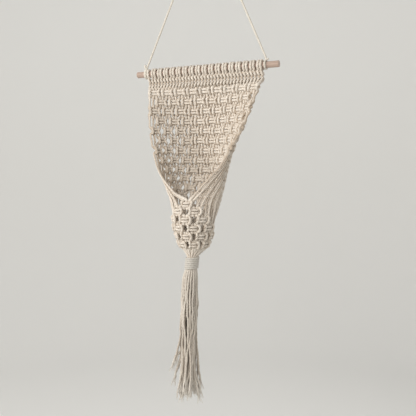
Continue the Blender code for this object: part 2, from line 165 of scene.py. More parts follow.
# ---- the hung shape, one row for each height: half the width along the curl, the angle
# through which that half turns, the place of its back, how far its depth is drawn in, and
# its middle ----
Section = namedtuple("Section", "drop half_arc half_turn back_y depth middle_x")
SECTIONS = (
    Section(0.2400, 0.1020, 4, 0.000, 1.00, -0.0015),
    Section(0.2560, 0.1005, 8, 0.003, 1.00, -0.0015),
    Section(0.2790, 0.0990, 28, 0.009, 1.00, -0.0015),
    Section(0.3280, 0.0980, 59, 0.010, 1.00, -0.0015),
    Section(0.3610, 0.0985, 84, 0.010, 1.00, -0.0015),
    Section(0.3850, 0.1015, 103, 0.010, 0.98, -0.0020),
    Section(0.4050, 0.1095, 128, 0.010, 0.94, -0.0030),
    Section(0.4250, 0.1178, 155, 0.007, 0.87, -0.0036),
    Section(0.4460, 0.1185, 180, 0.001, 0.83, -0.0030),
    Section(0.4630, 0.1030, 180, -0.0047, 0.94, -0.0018),
    Section(0.4710, 0.0955, 180, -0.0086, 1.00, -0.0010),
    Section(0.4850, 0.0890, 180, -0.0115, 1.00, -0.0008),
    Section(0.4980, 0.0780, 180, -0.0148, 1.00, -0.0008),
    Section(0.5126, 0.0590, 180, -0.0197, 1.00, -0.0008),
    Section(0.5240, 0.0300, 180, -0.0330, 1.00, -0.0012),
)
NET_FOOT = 0.5235            # drop where the net's last strands run into the wrap
SPREAD_START = 0.434         # below this drop the front's strands spread and the back's bunch
SPREAD_RANGE = 0.111
SPREAD_MOST = 2 / 3          # share of the strands that spread at most
SPREAD_SHARE = 1.25          # how much wider than even they lie
FLOAT_STEP = 0.011
FLOAT_LAYER = 0.0008         # the odd floats lie this far outside the mid surface, the even inside
BACK_STRANDS = range(12, 26)   # these float at the back of the pocket

# Rows of square knots: drops of a few rows, the others lie evenly between them.
RowMark = namedtuple("RowMark", "row drop")
BACK_ROWS = (RowMark(1, 0.2638), RowMark(8, 0.3767), RowMark(11, 0.4200), RowMark(15, 0.4715))
FRONT_ROWS = (RowMark(1, 0.4460), RowMark(2, 0.4565), RowMark(6, 0.5080))
FULL_ROWS = 7                # below these each row of the back has a knot less
BACK_ROW_COUNT = 15
FRONT_ROW_COUNT = 6
ROW_PITCH = 0.0163           # at this row pitch a knot has its full height
ROW_UNEVEN = 0.0004          # how far a knot strays from its row

# A square knot, left to right and top to bottom, seen from its face, in millimetres: where the
# filler, the worker that crosses first and the worker that crosses behind it run.
KNOT_STRANDS = 4
Pass = namedtuple("Pass", "across down out")
FILLER = (Pass(-2.4, -6.6, 0.0), Pass(-2.2, -2.6, -0.4), Pass(-2.2, 2.6, -0.4),
          Pass(-2.4, 6.6, 0.0))
FRONT_WORKER = (
    Pass(-8.3, -6.6, -0.6), Pass(-8.1, -4.7, -0.9), Pass(-6.2, -2.9, 0.2), Pass(-3.4, -2.3, 2.2),
    Pass(0.0, -2.2, 2.8), Pass(3.6, -2.1, 2.2), Pass(6.4, -1.8, 0.6), Pass(8.0, -1.0, -0.5),
    Pass(8.5, 0.4, -0.8), Pass(7.5, 1.8, 0.1), Pass(4.2, 2.3, 2.2), Pass(0.0, 2.4, 2.8),
    Pass(-3.6, 2.4, 2.2), Pass(-6.2, 2.9, 0.2), Pass(-8.1, 4.7, -0.9), Pass(-8.3, 6.6, -0.6),
)
BACK_WORKER = (
    Pass(8.3, -6.6, -0.1), Pass(8.2, -5.0, 1.7), Pass(7.6, -3.1, 3.4), Pass(6.8, -1.4, 2.8),
    Pass(4.9, -0.6, -0.2), Pass(3.2, -0.9, -2.4), Pass(0.0, -1.8, -3.1), Pass(-3.2, -3.4, -2.6),
    Pass(-5.0, -5.0, -0.6), Pass(-6.3, -5.5, 1.8), Pass(-7.6, -4.2, 3.6), Pass(-8.2, -1.5, 3.7),
    Pass(-8.2, 1.5, 3.7), Pass(-7.6, 4.2, 3.6), Pass(-6.3, 5.4, 1.7), Pass(-5.0, 4.9, -0.7),
    Pass(-3.2, 3.7, -2.6), Pass(0.0, 2.0, -3.1), Pass(3.2, 1.0, -2.4), Pass(5.1, 0.8, -0.2),
    Pass(6.9, 1.5, 2.7), Pass(7.7, 3.2, 3.3), Pass(8.2, 5.0, 1.5), Pass(8.3, 6.6, -0.1),
)
KNOT_REACH = 6.6             # from a knot's middle to where its strands run in and out
OVER_OUT = 1.0               # a pass further out than this lies over the others
SIDE_ACROSS = 6              # beyond this it turns round the knot's side
RUN_DOWN = 4.5               # and beyond this height a strand runs on to the next knot

# How a knot's size follows its place.
STRAND_PITCH = 0.00530       # at this spacing of the strands a knot has its full width
RUN_GROWTH = 1.3             # power with which its strands thicken between wider knots
BACK_SPREAD = 1.30           # the greatest width of a knot in the back
FIRST_ROWS = 3
FIRST_BODY = 0.93            # width of the bodies in the first rows
LOW_KNOT_BACK = 0.45         # how far the backs of the knots below the full rows stand out
FRONT_SPREAD = 1.20          # the front's knots are tight, and their strands fan out between them
FRONT_BODY = 0.88
FRONT_ENTRY = 0.82
FRONT_HEIGHT = 0.94
FRONT_CORD = 0.88
FRONT_RUN = 1.10

# The knots at the lower left of the net's back are drawn in and leave gaps.
SLACK_TO = 11                # only the knots to the left of this strand
SLACK_RANGE = 4              # and fully those this many strands further on
SLACK_SHIFT = 1.2            # each row below the full ones moves that strand on by this much
SLACK_START = 0.305          # only below this drop
SLACK_FALL = 0.020           # and fully this much further down
SLACK_BODY = 0.30            # how much narrower the body is
SLACK_CORD = 0.14            # how much thinner its cords are
SLACK_RUN = 0.33             # and the strands that run on from it

# ---- wrap and tassel ----
WRAP_Y = -0.0440
WRAP_TOP = 0.5275
WRAP_BOTTOM = 0.5490
WRAP_TOP_X = -0.0012
WRAP_BOTTOM_X = -0.0036
WRAP_TURNS = 6
WRAP_TURN_MARKS = 14
WRAP_CORD = 0.0018
WRAP_OUTER = 0.0112
NECK_RINGS = (0.0076, 0.0048, 0.0020)      # rings of strands inside the wrap
NECK_ORDER = (0, 1, 0, 2)                  # the ring that each strand of four goes to
NECK_DROPS = (WRAP_TOP + 0.001, WRAP_BOTTOM - 0.003)
NECK_SQUEEZE = 0.70
TASSEL_TOP = 0.5382                        # drop where the tassel's pieces begin
TASSEL_RINGS = (0.86, 0.53, 0.22)          # the same rings, as shares of the tassel's radius
Bunch = namedtuple("Bunch", "drop x y radius")
BUNCHES = (
    Bunch(0.5490, -0.0037, -0.0440, 0.0092),
    Bunch(0.5570, -0.0050, -0.0440, 0.0116),
    Bunch(0.5680, -0.0060, -0.0440, 0.0124),
    Bunch(0.5960, -0.0070, -0.0440, 0.0131),
    Bunch(0.6430, -0.0078, -0.0440, 0.0133),
    Bunch(0.6765, -0.0082, -0.0440, 0.0142),
    Bunch(0.7600, -0.0085, -0.0440, 0.0165),
)
TASSEL_GAP = 0.005                         # from the wrap to a strand's first mark below it
TASSEL_STEP = 0.006
TASSEL_SWAY = 0.00058                      # how far a strand strays at each step
TASSEL_HOLD = 0.87                         # share of its stray that it keeps at the next
SWAY_RANGE = 0.05                          # it strays fully from this far below the wrap
TASSEL_TIP = 0.7420                        # where the longest strand's twist ends
TASSEL_UNEVEN = 0.016
LEAN_LENGTH = 0.045                        # a strand leans out over this length of its end
LOCK_SIZE = 3                              # neighbours that lean together
LOCK_OUT = (-0.001, 0.0050)
LOCK_ACROSS = 0.0025
LOOSE = 0.0009                             # how far one of them leans from the others
Tip = namedtuple("Tip", "drop out across")
STRAY_TIPS = {7: Tip(0.6930, 0.0105, 0.0010), 8: Tip(0.6860, 0.0115, 0.0000),
              9: Tip(0.7220, 0.0110, -0.0020), 10: Tip(0.6980, 0.0100, -0.0005)}

# The unravelled end of a strand.
BRUSH_FIBRES = 8
BRUSH_UNEVEN = 0.8                         # how unevenly they lie round the strand
BRUSH_LENGTH = (0.012, 0.021)
BRUSH_SPREAD = (0.0008, 0.0036)
BRUSH_ROOT = 0.5                           # where they start, as a share of the cord's radius
BRUSH_MARKS = (-0.3, 0.0, 0.25, 0.5, 0.75, 1.0)      # along a fibre, from inside the strand
BRUSH_FLARE = 1.4                          # power with which they part
BRUSH_HANG = 0.8                           # how far they turn down from the strand's direction
BRUSH_BEND = 0.0012
BRUSH_WAVE = 1.6                           # half turns of the bend's wave
BRUSH_RADIUS = 0.00062
BRUSH_TAPER = 0.55
BRUSH_SIDES = 6
FIBRE_STEP = 0.0016
END_SAMPLES = 4                            # the last samples, which give a strand's direction

# ---- colours and grain ----
COTTON = (0.90, 0.845, 0.77)
COTTON_DEEP = (0.53, 0.437, 0.345)         # at a shade of 1, the colour of full painted shade
HANGING_COTTON = (0.80, 0.77, 0.695)
# the cord's cotton, painted darker and greyer as painted shade on the wrap; WRAP_DEEP colours its
# painted shade on the turns' flanks
WRAP_SHADED_COTTON = (0.71, 0.685, 0.635)
WRAP_DEEP = (0.40, 0.36, 0.31)
# the cord's cotton, painted darker as painted shade on the tassel; TASSEL_DEEP is the colour of its
# full painted shade
TASSEL_SHADED_COTTON = (0.83, 0.785, 0.715)
TASSEL_DEEP = (0.50, 0.435, 0.365)
WOOD = (0.56, 0.42, 0.345)
WOOD_DARK = (0.34, 0.245, 0.195)
Grain = namedtuple("Grain", "scale detail roughness bump_strength bump_distance")
COTTON_FIBRES = Grain((2200, 2200, 450), 3.0, 0.92, 0.5, 0.0003)
WOOD_GRAIN = Grain((35, 900, 900), 4.0, 0.6, 0.3, 0.0002)
FIBRE_SHADE = 0.35                         # what the fibres' noise adds to a shade

# ---- studio ----
STUDIO = (0.87, 0.865, 0.845)
STUDIO_ROUGHNESS = 0.95
FLOOR_Z = -1.35
FLOOR_RADIUS = 2.2
SWEEP_RADIUS = 1.0           # of the curve in which the floor rises into the wall
SWEEP_STEPS = 12
STUDIO_HEIGHT = 4.0
STUDIO_SIDES = 96
Light = namedtuple("Light", "name place aim size power colour")
LIGHTS = (
    Light("window", (-1.90, -1.35, 0.10), (0.0, 0.0, -0.45), (0.7, 0.9), 19, (1.0, 0.99, 0.965)),
    Light("room_light", (-0.20, -1.50, 0.15), (0.0, 0.0, -0.42), (1.2, 0.9), 17, (1.0, 0.98, 0.95)),
    Light("backdrop_light", (-0.4, 0.6, 1.5), (-1.3, 3.2, -0.2), (1.2, 0.8), 16, (1.0, 1.0, 0.99)),
    Light("wall_bounce", (0.95, 1.05, -0.15), (0.0, 0.0, -0.45), (1.0, 1.0), 5, (1.0, 0.99, 0.97)),
)
ROOM_COLOUR = (1.0, 0.99, 0.98)
ROOM_STRENGTH = 0.33


def make_camera():
    data = bpy.data.cameras.new("camera")
    data.sensor_width = CAMERA_SENSOR
    data.lens = CAMERA_LENS
    data.clip_start = CAMERA_CLIP
    camera = bpy.data.objects.new("camera", data)
    camera.location = CAMERA_PLACE
    camera.rotation_euler = (math.radians(90 + CAMERA_PITCH), 0, math.radians(CAMERA_YAW))
    bpy.context.scene.collection.objects.link(camera)
    bpy.context.scene.camera = camera


# ---- curves and tubes ----
def smooth(marks, step):
    """Samples about a step apart on a centripetal Catmull-Rom curve through the marks.

    A mark is x, y, z and any further values, which run along smoothly.
    """
    marks = np.asarray(marks, float)
    ahead = 2 * marks[0] - marks[1]
    behind = 2 * marks[-1] - marks[-2]
    rows = np.vstack((ahead, marks, behind))
    gaps = np.linalg.norm(np.diff(rows[:, :3], axis=0), axis=1)
    time = np.concatenate(([0.0], np.cumsum(np.sqrt(np.maximum(gaps, TINY)))))
    parts = []
    for i in range(1, len(rows) - 2):
        t0, t1, t2, t3 = time[i - 1:i + 3]
        p0, p1, p2, p3 = rows[i - 1:i + 3]
        count = max(int(round(gaps[i] / step)), 1)
        t = np.linspace(t1, t2, count, endpoint=False)[:, None]
        a1 = p0 * (t1 - t) / (t1 - t0) + p1 * (t - t0) / (t1 - t0)
        a2 = p1 * (t2 - t) / (t2 - t1) + p2 * (t - t1) / (t2 - t1)
        a3 = p2 * (t3 - t) / (t3 - t2) + p3 * (t - t2) / (t3 - t2)
        b1 = a1 * (t2 - t) / (t2 - t0) + a2 * (t - t0) / (t2 - t0)
        b2 = a2 * (t3 - t) / (t3 - t1) + a3 * (t - t1) / (t3 - t1)
        parts.append(b1 * (t2 - t) / (t2 - t1) + b2 * (t - t1) / (t2 - t1))
    parts.append(rows[-2][None, :])
    return np.vstack(parts)


def line_length(line):
    return float(np.linalg.norm(np.diff(line, axis=0), axis=1).sum())


def carried_sides(along):
    """A side square to each of a line's directions, carried along the line without a twist."""
    sides = np.empty_like(along)
    side = np.array((0.0, 1.0, 0.0)) if abs(along[0][1]) < STEEP else np.array((1.0, 0.0, 0.0))
    for i, direction in enumerate(along):
        side = side - direction * side.dot(direction)
        side /= np.linalg.norm(side)
        sides[i] = side
    return sides


class Yarn:
    """Tubes of twisted cord that become one mesh.

    Each point also has its place on the cord laid straight and unturned, which the fibres' noise
    follows, and its shade: the cord's own tone plus painted shade.
    """

    def __init__(self, name):
        self.name = name
        self.points, self.faces, self.unrolled, self.shades = [], [], [], []
        self.count = 0

    def add(self, line, radii, shade, lay=LAY, start=0.0, sides=CORD_SIDES, depth=PLY_DEPTH,
            outward=None, flank=0.0):
        """A cord along a line; its plies are twisted once in a lay, from a start on.

        Given the cloth's outward direction at each sample, the cord's flanks get painted shade, as much
        as flank.
        """
        line = np.asarray(line, float)
        rings = len(line)
        radii = np.broadcast_to(np.asarray(radii, float), (rings,))
        along = np.gradient(line, axis=0)
        along /= np.linalg.norm(along, axis=1)[:, None]
        side = carried_sides(along)
        other = np.cross(along, side)
        gaps = np.linalg.norm(np.diff(line, axis=0), axis=1)
        run = start + np.concatenate(([0.0], np.cumsum(gaps)))
        place = 2 * math.pi * np.arange(sides) / sides
        turn = place[None, :] + 2 * math.pi * run[:, None] / lay
        reach = radii[:, None] * (1 + depth * np.cos(PLIES * place))[None, :]
        cosine, sine = reach * np.cos(turn), reach * np.sin(turn)
        ring = line[:, None, :] + cosine[:, :, None] * side[:, None] + sine[:, :, None] * other[:, None]
        self.points.append(ring.reshape(-1, 3))

        unrolled = np.empty((rings, sides, 3))
        unrolled[:, :, 0] = radii[:, None] * np.cos(place)
        unrolled[:, :, 1] = radii[:, None] * np.sin(place)
        unrolled[:, :, 2] = run[:, None]
        self.unrolled.append(unrolled.reshape(-1, 3))

        # painted shade in the grooves between the plies
        groove = GROOVE_PAINTED_SHADE * (1 - np.cos(PLIES * place)) / 2 if depth else np.zeros(sides)
        shades = np.broadcast_to(np.asarray(shade, float), (rings,))[:, None] + groove[None, :]
        # painted shade on the cord's flanks, darkest where they face along the cloth
        if outward is not None:
            facing = (np.cos(turn) * np.sum(side * outward, axis=1)[:, None]
                      + np.sin(turn) * np.sum(other * outward, axis=1)[:, None])
            shades = shades + np.broadcast_to(flank, (rings,))[:, None] * (1 - facing**2)**2
        self.shades.append(shades.ravel())

        base = self.count
        i = base + sides * np.arange(rings - 1)[:, None] + np.arange(sides)[None, :]
        j = base + sides * np.arange(rings - 1)[:, None] + (np.arange(sides) + 1)[None, :] % sides
        quads = np.stack((i, j, j + sides, i + sides), axis=-1).reshape(-1, 4)
        self.faces.extend(quads.tolist())
        self.faces.append(list(range(base + sides - 1, base - 1, -1)))
        self.faces.append(list(range(base + sides * (rings - 1), base + sides * rings)))
        self.count += rings * sides

    def build(self, material, slot, node):
        mesh = bpy.data.meshes.new(self.name)
        mesh.from_pydata(np.vstack(self.points), [], self.faces)
        space = mesh.attributes.new("cord_space", "FLOAT_VECTOR", "POINT")
        space.data.foreach_set("vector", np.vstack(self.unrolled).astype(np.float32).ravel())
        shade = mesh.attributes.new("cord_tone_and_painted_shade", "FLOAT", "POINT")
        shade.data.foreach_set("value", np.concatenate(self.shades).astype(np.float32))
        mesh.shade_smooth()
        mesh.materials.append(material)
        piece = bpy.data.objects.new(self.name, mesh)
        bpy.context.scene.collection.objects.link(piece)
        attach(piece, BODY)
        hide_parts(node)
        return piece


# ---- the net's surface ----
def read_rows(rows, where):
    """A table's values at any drop, along a smooth curve through its rows."""
    last = len(rows) - 1
    where = min(max(where, rows[0][0]), rows[last][0])
    i = next(k for k in range(last) if where <= rows[k + 1][0])
    before, start, end, after = rows[max(i - 1, 0)], rows[i], rows[i + 1], rows[min(i + 2, last)]
    span = end[0] - start[0]
    t = (where - start[0]) / span
    values = []
    for p, a, b, n in zip(before, start, end, after):
        slope_a = (b - p) / (end[0] - before[0]) * span
        slope_b = (n - a) / (after[0] - start[0]) * span
        values.append((2 * t**3 - 3 * t**2 + 1) * a + (t**3 - 2 * t**2 + t) * slope_a
                      + (3 * t**2 - 2 * t**3) * b + (t**3 - t**2) * slope_b)
    return type(start)(*values)


def section_radius(section):
    return section.half_arc / math.radians(section.half_turn)


def curl_radius(drop):
    return section_radius(read_rows(SECTIONS, drop))


def net_point(angle, drop, out):
    """A point of the hung net: angle round the curl from its back, out from its mid surface."""
    section = read_rows(SECTIONS, drop)
    radius = section_radius(section)
    lean = math.hypot(section.depth * math.sin(angle), math.cos(angle))
    x = section.middle_x + radius * math.sin(angle) + out * section.depth * math.sin(angle) / lean
    y = section.back_y - section.depth * radius * (1 - math.cos(angle)) + out * math.cos(angle) / lean
    return (x, y, -drop)


def strand_angle(place, drop):
    """Angle round the curl at a strand's place, 1 to 36, or past 36 for those that follow on."""
    if place > STRANDS + 0.5:
        return 2 * math.pi + strand_angle(place - STRANDS, drop)
    share = (place - (STRANDS + 1) / 2) / (STRANDS / 2)
    edge = 1 - abs(share)
    spread = min(max((drop - SPREAD_START) / SPREAD_RANGE, 0.0), SPREAD_MOST)
    if edge <= spread:
        taken = SPREAD_SHARE * edge
    else:
        left = 1 - SPREAD_SHARE * spread
        taken = SPREAD_SHARE * spread + left * (edge - spread) / (1 - spread)
    half_turn = math.radians(read_rows(SECTIONS, drop).half_turn)
    return math.copysign(half_turn * (1 - taken), share)


def cloth_outward(samples):
    """Level directions from the middle of the curl or the tassel through a strand's samples."""
    outward = []
    for x, y, z in samples[:, :3]:
        if -z < WRAP_TOP:
            section = read_rows(SECTIONS, -z)
            middle_y = section.back_y - section.depth * section_radius(section)
            away = np.array((x - section.middle_x, y - middle_y, 0.0))
        else:
            bunch = read_rows(BUNCHES, -z)
            away = np.array((x - bunch.x, y - bunch.y, 0.0))
        outward.append(away / max(np.linalg.norm(away), TINY))
    return np.array(outward)


# ---- the square knots ----
# The face is 1 where it is on the curl's outside and -1 inside. Body and entry are shares of a
# full knot's width at its middle and ends, back is the share that its back stands out, and cord
# and run are shares of the radii in it and on from it.
Knot = namedtuple("Knot", "first drop face body entry height back cord run")


def row_drop(marks, row):
    return float(np.interp(row, [mark.row for mark in marks], [mark.drop for mark in marks]))


def strand_pitch(first, drop):
    """Spacing of a knot's two middle strands."""
    return (strand_angle(first + 2, drop) - strand_angle(first + 1, drop)) * curl_radius(drop)


def slackness(row, first, drop):
    """How far a knot at the net's left is drawn in, from 0 to 1."""
    slack_to = SLACK_TO + SLACK_SHIFT * max(row - FULL_ROWS, 0)
    slack = min(max((slack_to - first) / SLACK_RANGE, 0.0), 1.0)
    return slack * min(max((drop - SLACK_START) / SLACK_FALL, 0.0), 1.0)


def knot_plan(draw):
    """Every square knot, in rows from the top."""
    plan = []
    for row in range(1, BACK_ROW_COUNT + 1):
        drop = row_drop(BACK_ROWS, row)
        pitch = row_drop(BACK_ROWS, row + 1) - drop or drop - row_drop(BACK_ROWS, row - 1)
        inset = (row + 1) % 2 * 2 if row <= FULL_ROWS else 2 * (row - FULL_ROWS)
        full_body = FIRST_BODY if row <= FIRST_ROWS else 1.0
        for first in range(1 + inset, STRANDS - inset - 2, KNOT_STRANDS):
            width = min(strand_pitch(first, drop) / STRAND_PITCH, BACK_SPREAD)
            slack = slackness(row, first, drop)
            plan.append(Knot(
                first=first,
                drop=drop + draw.gauss(0, ROW_UNEVEN),
                face=-1,
                body=width * (full_body - SLACK_BODY * slack),
                entry=width,
                height=min(pitch / ROW_PITCH, 1.0),
                back=1.0 if row <= FULL_ROWS else LOW_KNOT_BACK,
                cord=max(width, 1.0) * (1 - SLACK_CORD * slack),
                run=max(width, 1.0)**RUN_GROWTH * (1 - SLACK_RUN * slack),
            ))
    for row in range(1, FRONT_ROW_COUNT + 1):
        drop = row_drop(FRONT_ROWS, row)
        for k in range(row):
            first = STRANDS + 1 - 2 * row + KNOT_STRANDS * k
            width = min(strand_pitch(first, drop) / STRAND_PITCH, FRONT_SPREAD)
            plan.append(Knot(first, drop, face=1, body=width * FRONT_BODY, entry=width * FRONT_ENTRY,
                             height=FRONT_HEIGHT, back=1.0, cord=FRONT_CORD, run=FRONT_RUN))
    return plan


def knot_passes(role, knot):
    """Marks of one of a knot's four strands, by its role from 0 at the left to 3."""
    middle = knot.first + (KNOT_STRANDS - 1) / 2
    if role in (1, 2):
        table = FILLER
    else:
        table = FRONT_WORKER if role == 0 else BACK_WORKER
    sign = -1 if role == 2 else 1
    marks = []
    for step in table:
        drop = knot.drop + step.down * MM * knot.height
        opened = (step.down / KNOT_REACH)**2
        width = knot.body + (knot.entry - knot.body) * opened
        angle = strand_angle(middle, drop) + sign * step.across * MM * width / curl_radius(drop)
        if abs(step.down) > RUN_DOWN and step.out < OVER_OUT:
            radius = RUN_RADIUS * knot.run
        elif step.out > OVER_OUT:
            radius = (SIDE_RADIUS if abs(step.across) > SIDE_ACROSS else KNOT_RADIUS) * knot.cord
        else:
            radius = CORD_RADIUS * knot.cord
        out = step.out * (knot.back if step.out < -OVER_OUT else 1)
        # painted shade where the pass lies deep in the knot, fading towards its ends
        sunk = max(1 - abs(step.out) / SUNK_OUT, 0.0) * (1 - opened)**SUNK_FADE
        marks.append((*net_point(angle, drop, knot.face * out * MM), radius, SUNK_PAINTED_SHADE * sunk))
    return marks


# ---- the strands: marks of x, y, z, radius and shade, from the dowel down ----
def head_marks(strand):
    """A strand's way from its lark's head over the dowel down to the bars of hitches."""
    if strand == 1:
        path, x, sign = TURN_PATH, FIRST_TURN_X, 1
    elif strand == STRANDS:
        path, x, sign = (), 0.0, 1
    else:
        path = HEAD_PATH
        x = HEAD_FIRST + HEAD_PITCH * ((strand - 2) // 2)
        sign = 1 if strand % 2 == 0 else -1
    marks = [(x + sign * m.side * MM, m.back * MM, m.up * MM - DOWEL_DROP, HEAD_RADIUS, 0.0)
             for m in path]
    below = TIER_LEFT + TIER_PITCH * (strand - 0.5)
    # the strands get painted shade inside and between the bars of hitches
    marks.append((below, TIER_Y, -TIERS[0], HOLDING_RADIUS, SUNK_PAINTED_SHADE))
    marks.append((below, BETWEEN_Y, -(TIERS[0] + TIERS[1]) / 2, CORD_RADIUS, SUNK_PAINTED_SHADE))
    marks.append((below, TIER_Y, -TIERS[1], HOLDING_RADIUS, SUNK_PAINTED_SHADE))
    return marks


def net_marks(strand, knots):
    """A strand's way through its knots, with floats where they lie far apart."""
    at_back = strand in BACK_STRANDS
    radius = BACK_FLOAT_RADIUS if at_back else FLOAT_RADIUS
    # painted shade on the even floats, which lie behind the odd ones; none at the back of the pocket
    shade = 0.0 if strand % 2 or at_back else EVEN_FLOAT_PAINTED_SHADE
    layer = FLOAT_LAYER if strand % 2 else -FLOAT_LAYER
    top = HEADING_FOOT
    marks = [(*net_point(strand_angle(strand, top), top, HEADING_FOOT_OUT), CORD_RADIUS, 0.0)]
    own = sorted((knot for knot in knots if (strand - knot.first) % STRANDS < KNOT_STRANDS),
                 key=lambda knot: knot.drop)
    for knot in (*own, None):
        bottom = knot.drop - KNOT_REACH * MM * knot.height if knot else NET_FOOT
        steps = int((bottom - top) / FLOAT_STEP)
        for k in range(steps):
            drop = top + (bottom - top) * (k + 1) / (steps + 1)
            marks.append((*net_point(strand_angle(strand, drop), drop, layer), radius, shade))
        if knot:
            marks += knot_passes((strand - knot.first) % STRANDS, knot)
            top = knot.drop + KNOT_REACH * MM * knot.height
    return marks


def strand_ring(strand):
    """The ring that a strand goes to in the wrap and the tassel, from 0 outside."""
    return NECK_ORDER[(strand - 1) % len(NECK_ORDER)]


def ring_angle(strand):
    """Where it stands on that ring; an angle of 0 is at the back."""
    return math.pi * (strand - (STRANDS + 1) / 2) / (STRANDS / 2)


def wrap_x(drop):
    return float(np.interp(drop, (WRAP_TOP, WRAP_BOTTOM), (WRAP_TOP_X, WRAP_BOTTOM_X)))


def neck_marks(strand):
    """A strand's way through the gathering wrap."""
    ring = NECK_RINGS[strand_ring(strand)]
    angle = ring_angle(strand)
    return [(wrap_x(drop) + ring * math.sin(angle), WRAP_Y + ring * math.cos(angle), -drop,
             CORD_RADIUS * NECK_SQUEEZE, 0.0) for drop in NECK_DROPS]


def tassel_plan(draw):
    """How each strand ends: its tip's drop, and how far it leans out and across there."""
    plan = {}
    for strand in range(1, STRANDS + 1):
        if (strand - 1) % LOCK_SIZE == 0:
            lock_out, lock_across = draw.uniform(*LOCK_OUT), draw.gauss(0, LOCK_ACROSS)
        drop = TASSEL_TIP - TASSEL_UNEVEN * draw.random()
        plan[strand] = Tip(drop, lock_out + draw.gauss(0, LOOSE), lock_across + draw.gauss(0, LOOSE))
    plan.update(STRAY_TIPS)
    return plan


def tassel_place(strand, drop, tip, stray):
    """A mark on a tassel strand, which strays a little and leans out towards its tip."""
    ring = strand_ring(strand)
    angle = ring_angle(strand)
    bunch = read_rows(BUNCHES, drop)
    lean = max(1 - (tip.drop - drop) / LEAN_LENGTH, 0.0)**2
    radius = bunch.radius * TASSEL_RINGS[ring] + tip.out * lean
    across = tip.across * lean
    sway = stray * min((drop - WRAP_BOTTOM) / SWAY_RANGE, 1.0)
    x = bunch.x + radius * math.sin(angle) + across * math.cos(angle) + sway[0]
    y = bunch.y + radius * math.cos(angle) - across * math.sin(angle) + sway[1]
    # painted shade on the inner rings of the tassel
    return (x, y, -drop, TASSEL_RADIUS, RING_PAINTED_SHADES[ring])


def tassel_marks(strand, tip, draw):
    """A strand's way from the wrap down to its tip."""
    marks = []
    stray = np.zeros(2)
    steps = int((tip.drop - WRAP_BOTTOM - TASSEL_GAP) / TASSEL_STEP)
    for k in range(steps + 1):
        marks.append(tassel_place(strand, WRAP_BOTTOM + TASSEL_GAP + TASSEL_STEP * k, tip, stray))
        stray = TASSEL_HOLD * stray + np.array((draw.gauss(0, TASSEL_SWAY), draw.gauss(0, TASSEL_SWAY)))
    marks[-1] = (*marks[-1][:3], TASSEL_RADIUS * TIP_TAPER, marks[-1][4])
    return marks


def strand_marks(strand, knots, tip, draw):
    return (head_marks(strand) + net_marks(strand, knots) + neck_marks(strand)
            + tassel_marks(strand, tip, draw))


def split_by_drop(samples, drops):
    """Cut a strand's samples at some drops, each part ending where the next begins."""
    cuts = [0]
    for drop in drops:
        below = np.nonzero(-samples[:, 2] > drop)[0]
        below = below[below > cuts[-1]]
        cuts.append(int(below[0]) if len(below) else len(samples) - 1)
    cuts.append(len(samples) - 1)
    return [samples[a:b + 1] for a, b in zip(cuts, cuts[1:])]


def add_brush(yarn, strand_end, shade, draw):
    """The unravelled end of a strand: its fibres part, bend and grow thin."""
    end = strand_end[-1]
    along = end - strand_end[0]
    along = along / np.linalg.norm(along) + np.array((0.0, 0.0, -BRUSH_HANG))
    along /= np.linalg.norm(along)
    for k in range(BRUSH_FIBRES):
        turn = 2 * math.pi * (k + BRUSH_UNEVEN * draw.random()) / BRUSH_FIBRES
        side = np.array((math.cos(turn), math.sin(turn), 0.0))
        across = np.array((-side[1], side[0], 0.0))
        length = draw.uniform(*BRUSH_LENGTH)
        spread = draw.uniform(*BRUSH_SPREAD)
        bend = draw.gauss(0, BRUSH_BEND)
        marks = []
        for share in BRUSH_MARKS:
            opened = max(share, 0.0)
            away = BRUSH_ROOT * CORD_RADIUS + spread * opened**BRUSH_FLARE
            place = end + along * length * share + side * away
            place = place + across * bend * math.sin(BRUSH_WAVE * math.pi * opened)
            marks.append((*place, BRUSH_RADIUS * (1 - BRUSH_TAPER * opened)))
        samples = smooth(marks, FIBRE_STEP)
        yarn.add(samples[:, :3], samples[:, 3], shade, sides=BRUSH_SIDES, depth=0.0)


# ---- materials ----
def grained_material(name, colour, deep, grain):
    """A material of two colours with a stretched noise in relief.

    The caller links the noise's place and the colours' mix.
    """
    material = bpy.data.materials.new(name)
    material.use_nodes = True
    nodes, links = material.node_tree.nodes, material.node_tree.links
    shader = nodes["Principled BSDF"]
    shader.inputs["Roughness"].default_value = grain.roughness
    stretch = nodes.new("ShaderNodeMapping")
    stretch.inputs["Scale"].default_value = grain.scale
    noise = nodes.new("ShaderNodeTexNoise")
    noise.inputs["Scale"].default_value = 1.0
    noise.inputs["Detail"].default_value = grain.detail
    links.new(stretch.outputs["Vector"], noise.inputs["Vector"])
    mix = nodes.new("ShaderNodeMix")
    mix.data_type = "RGBA"
    mix.inputs["A"].default_value = (*colour, 1.0)
    mix.inputs["B"].default_value = (*deep, 1.0)
    links.new(mix.outputs["Result"], shader.inputs["Base Color"])
    bump = nodes.new("ShaderNodeBump")
    bump.inputs["Strength"].default_value = grain.bump_strength
    bump.inputs["Distance"].default_value = grain.bump_distance
    links.new(noise.outputs["Fac"], bump.inputs["Height"])
    links.new(bump.outputs["Normal"], shader.inputs["Normal"])
    return material, shader, stretch, noise, mix


